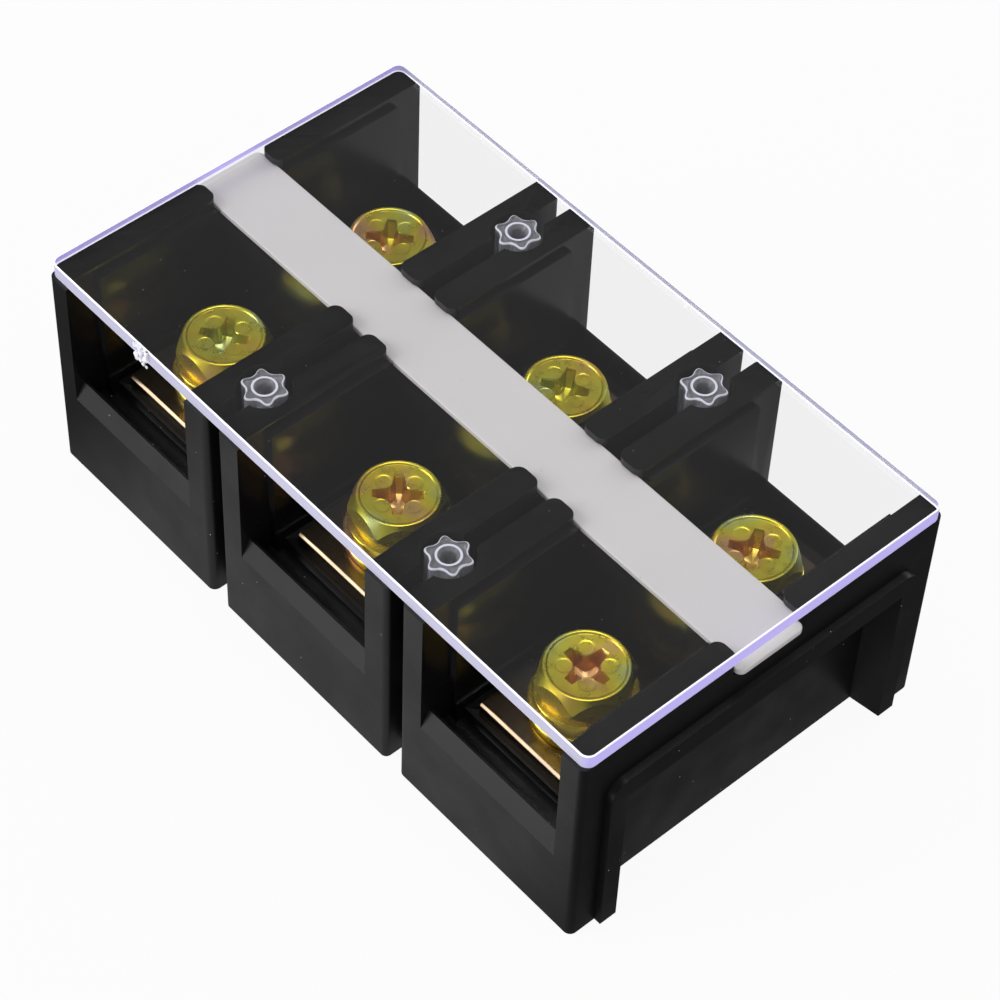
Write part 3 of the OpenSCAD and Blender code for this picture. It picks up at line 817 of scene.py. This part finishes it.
coverShape = {
    "corner": 1.5 * mm,
    "thickness": 2.6 * mm,
    "rounding": 0.2 * mm,
    "roundingSteps": 3,
    "cornerSteps": 12,
    "sharpFrom": 40,
    "smoothWithin": 12,
    "pinLength": 12 * mm,
    "pinPoint": 3.6 * mm,
    "pinValley": 2.75 * mm,
    "pinHole": 1.2 * mm,
    "pinX": 20.1 * mm,
    "pinY": 24.2 * mm,
    "pinGap": 0.02 * mm,
    "pinRim": 0.25 * mm,
    "pinSunk": 0.3 * mm,
    "ringOuter": 1.95 * mm,
    "ringInner": 1.6 * mm,
    "pinSteps": 180,
    "pinSharpness": 1.5,
    "pinSmoothWithin": 30,
    # the star's bands that take the rim finish, a painted highlight
    "paleBands": (3, 4, 9),
}


def roundedOutline(halfLength, halfWidth, radius, steps):
    points = []
    for quarter, (sx, sy) in enumerate(((1, 1), (-1, 1), (-1, -1), (1, -1))):
        for k in range(steps + 1):
            angle = math.pi / 2 * (quarter + k / steps)
            points.append((sx * (halfLength - radius) + radius * math.cos(angle),
                           sy * (halfWidth - radius) + radius * math.sin(angle)))
    return points


def coverPlate():
    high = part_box("cover")[1]
    outline = roundedOutline(high.x, high.y, coverShape["corner"], coverShape["cornerSteps"])
    bm = bmesh.new()
    heights = (high.z - coverShape["thickness"], high.z)
    layers = [[bm.verts.new((x, y, z)) for x, y in outline] for z in heights]
    bm.faces.new(list(reversed(layers[0])))
    bm.faces.new(layers[1])
    count = len(outline)
    for k in range(count):
        after = (k + 1) % count
        side = bm.faces.new((layers[0][k], layers[0][after], layers[1][after], layers[1][k]))
        side.material_index = 1
    mesh = bpy.data.meshes.new("coverPlateMesh")
    bm.to_mesh(mesh)
    bm.free()
    plate = meshObject("coverPlate", mesh, coverGlass, coverEdgeGlow, coverCornerHighlight)
    bevel = plate.modifiers.new("edges", "BEVEL")
    bevel.width = coverShape["rounding"]
    bevel.segments = coverShape["roundingSteps"]
    bevel.limit_method = "ANGLE"
    bevel.angle_limit = math.radians(coverShape["sharpFrom"])
    # the rounded edges take the corner finish, a painted highlight
    bevel.material = 2
    bakeModifiers(plate)
    smoothByAngle(plate.data, coverShape["smoothWithin"])
    return plate


plate = coverPlate()
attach(plate, "cover")
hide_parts("cover")


def pinRadius(angle):
    share = (0.5 + 0.5 * math.cos(6 * angle + math.pi)) ** coverShape["pinSharpness"]
    return coverShape["pinValley"] * (1 - share) + coverShape["pinPoint"] * share


def starMesh():
    # one hollow star: a rim along its outline, a sunk field, and a raised ring round the hole
    s = coverShape
    bottom = -(s["pinLength"] - s["pinGap"])
    bm = bmesh.new()
    rings = []
    for step in range(s["pinSteps"]):
        angle = 2 * math.pi * step / s["pinSteps"]
        outer = pinRadius(angle)
        line = [
            (s["pinHole"], bottom), (outer - s["pinRim"], bottom), (outer, bottom + s["pinRim"]),
            (outer, -s["pinRim"]), (outer - 0.4 * s["pinRim"], -0.3 * s["pinRim"]), (outer - s["pinRim"], 0),
            (outer - 1.6 * s["pinRim"], 0), (outer - 2.1 * s["pinRim"], -s["pinSunk"]),
            (s["ringOuter"] + 0.1 * mm, -s["pinSunk"]), (s["ringOuter"], 0), (s["ringInner"], 0),
            (s["pinHole"], -2 * s["pinSunk"])]
        rings.append([bm.verts.new((r * math.cos(angle), r * math.sin(angle), z)) for r, z in line])
    # faces marked pale get the painted highlight of the rim finish
    pale = bm.faces.layers.bool.new("pale")
    for i, line in enumerate(rings):
        after = rings[(i + 1) % len(rings)]
        for k in range(len(line)):
            n = (k + 1) % len(line)
            bm.faces.new((line[k], after[k], after[n], line[n]))[pale] = k in s["paleBands"]
    bmesh.ops.recalc_face_normals(bm, faces=bm.faces)
    mesh = bpy.data.meshes.new("starMesh")
    bm.to_mesh(mesh)
    bm.free()
    return mesh


def pinTree():
    # the star comes in and is set at the corners of a rectangle under the plate
    tree, given = newTree("starPinTree", (
        ("Spacing X", "NodeSocketFloat"), ("Spacing Y", "NodeSocketFloat"), ("Top", "NodeSocketFloat"),
        ("Finish", "NodeSocketMaterial"), ("Rim Finish", "NodeSocketMaterial")))
    values = given.outputs
    corners = addNode(tree, "GeometryNodeMeshGrid", {
        "Size X": values["Spacing X"], "Size Y": values["Spacing Y"], "Vertices X": 2, "Vertices Y": 2})
    lift = addNode(tree, "ShaderNodeCombineXYZ", {"Z": values["Top"]})
    raised = addNode(tree, "GeometryNodeTransform", {
        "Geometry": corners.outputs["Mesh"], "Translation": lift.outputs[0]})
    placed = addNode(tree, "GeometryNodeInstanceOnPoints", {
        "Points": raised.outputs[0], "Instance": given.outputs["Geometry"]})
    real = addNode(tree, "GeometryNodeRealizeInstances", {0: placed.outputs[0]})
    milky = addNode(tree, "GeometryNodeSetMaterial", {
        "Geometry": real.outputs[0], "Material": values["Finish"]})
    # faces marked pale take the rim finish, a painted highlight
    pale = addNode(tree, "GeometryNodeInputNamedAttribute", {"Name": "pale"}, data_type="BOOLEAN")
    finished = addNode(tree, "GeometryNodeSetMaterial", {
        "Geometry": milky.outputs[0], "Selection": pale.outputs["Attribute"],
        "Material": values["Rim Finish"]})
    addNode(tree, "NodeGroupOutput", {0: finished.outputs[0]})
    return tree


pins = meshObject("coverPins", starMesh())
growPiece(pins, pinTree(), {
    "Spacing X": 2 * coverShape["pinX"], "Spacing Y": 2 * coverShape["pinY"],
    "Top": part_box("cover")[1].z - coverShape["thickness"] - coverShape["pinGap"], "Finish": pinFrost,
    "Rim Finish": pinRim})
smoothByAngle(pins.data, coverShape["pinSmoothWithin"])
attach(pins, "cover")


gateShape = {
    "start": -37.9 * mm,
    "end": -34.7 * mm,
    "depth": 0.8 * mm,
    "height": 3.2 * mm,
    "crumbs": 40,
    "smallest": 0.2 * mm,
    "largest": 0.48 * mm,
    "spikesPerMetre": 900,
    "spikeHeight": 0.55,
    "seed": 4,
}


def crumbledPolycarbonate():
    # torn plastic scatters all light, so it reads white
    material, tree = newMaterial("crumbledPolycarbonate")
    surface = addNode(tree, "ShaderNodeBsdfPrincipled", {
        "Base Color": linearColour(coverFinish["torn"]), "Roughness": coverFinish["tornRoughness"],
        "IOR": coverFinish["ior"]})
    addNode(tree, "ShaderNodeOutputMaterial", {"Surface": surface.outputs[0]})
    return material


def gateMark():
    # where the cover was broken off its sprue: a crumbled white stub over the front edge
    g = gateShape
    rough = random.Random(g["seed"])
    low = Vector((g["start"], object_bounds()[0][1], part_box("cover")[1].z - g["height"]))
    high = Vector((g["end"], low.y + g["depth"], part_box("cover")[1].z))
    bm = bmesh.new()
    for crumb in range(g["crumbs"]):
        centre = Vector([rough.uniform(low[k], high[k]) for k in range(3)])
        size = rough.uniform(g["smallest"], g["largest"])
        made = bmesh.ops.create_icosphere(bm, subdivisions=2, radius=size)
        for vert in made["verts"]:
            bump = noise.noise(vert.co * g["spikesPerMetre"] + Vector((crumb, 0, 0)))
            place = centre + vert.co * (1 + g["spikeHeight"] * bump)
            vert.co = [min(max(place[k], low[k]), high[k]) for k in range(3)]
    mesh = bpy.data.meshes.new("gateMesh")
    bm.to_mesh(mesh)
    bm.free()
    return meshObject("coverGate", mesh, crumbledPolycarbonate())


gate = gateMark()
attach(gate, "cover")
print("barrier strip: cover")


# floor, light and camera

studio = {
    "background": "#ffffff",
    "floorGrey": "#d2d2d2",
    "floorShown": 0.94,
    # floorInFront, floorAtEnd and farFloorGain paint light and the object's shadow into the floor that
    # surfaces mirror
    "floorInFront": 0.36,
    "floorAtEnd": 0.07,
    "farFloorGain": 4.0,
    "shadeStart": 40 * mm,
    "shadeEnd": 64 * mm,
    "farStart": -70 * mm,
    "farEnd": -180 * mm,
    "floorReach": 4.0,
    "ambient": 0.55,
    "ambientInGloss": 0.18,
    "lampAim": (0, 0, 20 * mm),
    "lens": 116.92,
    "cameraPlace": (226.80 * mm, -211.72 * mm, 386.62 * mm),
    "cameraAim": (7.21 * mm, -2.78 * mm, 24 * mm),
    "cameraRoll": 2.82,
}

lamps = {
    "keySoftbox": {"place": (-0.55, -0.75, 0.62), "size": 0.55, "power": 5.0},
    "lowSoftbox": {"place": (-0.45, -0.85, 0.16), "size": 0.5, "power": 3.2},
    "overheadSoftbox": {"place": (-0.12, 0.12, 1.1), "size": 0.45, "power": 2.0},
    "sideSoftbox": {"place": (0.85, -0.15, 0.45), "size": 0.4, "power": 0.3},
    "rearSoftbox": {"place": (0.15, 0.95, 0.42), "size": 0.5, "power": 2.5},
}


def reflectedAndSeen(tree, path):
    # white shows to the eye and straight through the cover, but not in what a surface mirrors
    reflected = addNode(tree, "ShaderNodeMath", {
        0: path.outputs["Glossy Depth"], 1: 0.5}, operation="GREATER_THAN")
    direct = addNode(tree, "ShaderNodeMath", {
        0: path.outputs["Is Transmission Ray"], 1: reflected.outputs[0]},
        operation="SUBTRACT", use_clamp=True)
    seen = addNode(tree, "ShaderNodeMath", {
        0: path.outputs["Is Camera Ray"], 1: direct.outputs[0]}, operation="MAXIMUM")
    return reflected.outputs[0], seen.outputs[0]


def paleFloor():
    material, tree = newMaterial("paleFloor")
    path = addNode(tree, "ShaderNodeLightPath")
    paint = addNode(tree, "ShaderNodeBsdfDiffuse", {"Color": linearColour(studio["floorGrey"])})
    glow = addNode(tree, "ShaderNodeEmission", {"Color": linearColour(studio["background"]), "Strength": 1.0})
    reflected, seen = reflectedAndSeen(tree, path)
    shown = addNode(tree, "ShaderNodeMath", {0: seen, 1: studio["floorShown"]}, operation="MULTIPLY")
    plain = addNode(tree, "ShaderNodeMixShader", {
        0: shown.outputs[0], 1: paint.outputs[0], 2: glow.outputs[0]})
    # what the black faces mirror: painted light on the floor in front, and the object's own shade painted
    # beyond its end
    place = addNode(tree, "ShaderNodeSeparateXYZ", {
        0: addNode(tree, "ShaderNodeTexCoord").outputs["Object"]})
    sideways = addNode(tree, "ShaderNodeMath", {0: place.outputs["X"]}, operation="ABSOLUTE")
    level = addNode(tree, "ShaderNodeMapRange", {
        "Value": sideways.outputs[0], "From Min": studio["shadeStart"], "From Max": studio["shadeEnd"],
        "To Min": studio["floorInFront"], "To Max": studio["floorAtEnd"]})
    # further out in front the floor is painted brighter in reflections, for the light of the low softbox,
    # which the screws' shoulders pick up
    far = addNode(tree, "ShaderNodeMapRange", {
        "Value": place.outputs["Y"], "From Min": studio["farStart"], "From Max": studio["farEnd"],
        "To Min": 1.0, "To Max": studio["farFloorGain"]})
    strength = addNode(tree, "ShaderNodeMath", {
        0: level.outputs["Result"], 1: far.outputs["Result"]}, operation="MULTIPLY")
    mirrored = addNode(tree, "ShaderNodeEmission", {"Strength": strength.outputs[0]})
    mixed = addNode(tree, "ShaderNodeMixShader", {
        0: reflected, 1: plain.outputs[0], 2: mirrored.outputs[0]})
    addNode(tree, "ShaderNodeOutputMaterial", {"Surface": mixed.outputs[0]})
    return material


def buildStudio():
    mesh = bpy.data.meshes.new("floorMesh")
    reach = studio["floorReach"]
    corners = [(-reach, -reach, 0), (reach, -reach, 0), (reach, reach, 0), (-reach, reach, 0)]
    mesh.from_pydata(corners, [], [(0, 1, 2, 3)])
    floor = meshObject("studioFloor", mesh, paleFloor())
    world = bpy.data.worlds.new("studioWorld")
    bpy.context.scene.world = world
    world.use_nodes = True
    tree = world.node_tree
    tree.nodes.clear()
    path = addNode(tree, "ShaderNodeLightPath")
    reflected, seen = reflectedAndSeen(tree, path)
    soft = addNode(tree, "ShaderNodeBackground", {"Color": (1, 1, 1, 1), "Strength": studio["ambient"]})
    dim = addNode(tree, "ShaderNodeBackground", {"Color": (1, 1, 1, 1), "Strength": studio["ambientInGloss"]})
    white = addNode(tree, "ShaderNodeBackground", {
        "Color": linearColour(studio["background"]), "Strength": 1.0})
    glossy = addNode(tree, "ShaderNodeMixShader", {
        0: reflected, 1: soft.outputs[0], 2: dim.outputs[0]})
    mixed = addNode(tree, "ShaderNodeMixShader", {0: seen, 1: glossy.outputs[0], 2: white.outputs[0]})
    addNode(tree, "ShaderNodeOutputWorld", {"Surface": mixed.outputs[0]})
    for name, lamp in lamps.items():
        light = bpy.data.lights.new(name, "AREA")
        light.shape = "SQUARE"
        light.size = lamp["size"]
        light.energy = lamp["power"]
        holder = bpy.data.objects.new(name, light)
        bpy.context.scene.collection.objects.link(holder)
        holder.location = lamp["place"]
        aim = Vector(studio["lampAim"]) - holder.location
        holder.rotation_mode = "QUATERNION"
        holder.rotation_quaternion = aim.to_track_quat("-Z", "Y")
    camera = bpy.data.cameras.new("studioCamera")
    camera.lens = studio["lens"]
    camera.clip_start = 0.01
    camera.clip_end = 50
    holder = bpy.data.objects.new("studioCamera", camera)
    bpy.context.scene.collection.objects.link(holder)
    holder.location = studio["cameraPlace"]
    aim = Vector(studio["cameraAim"]) - holder.location
    holder.rotation_mode = "QUATERNION"
    roll = Quaternion((0, 0, 1), math.radians(studio["cameraRoll"]))
    holder.rotation_quaternion = aim.to_track_quat("-Z", "Y") @ roll
    bpy.context.scene.camera = holder
    bpy.context.scene.view_settings.view_transform = "Standard"


buildStudio()
print("barrier strip: studio")
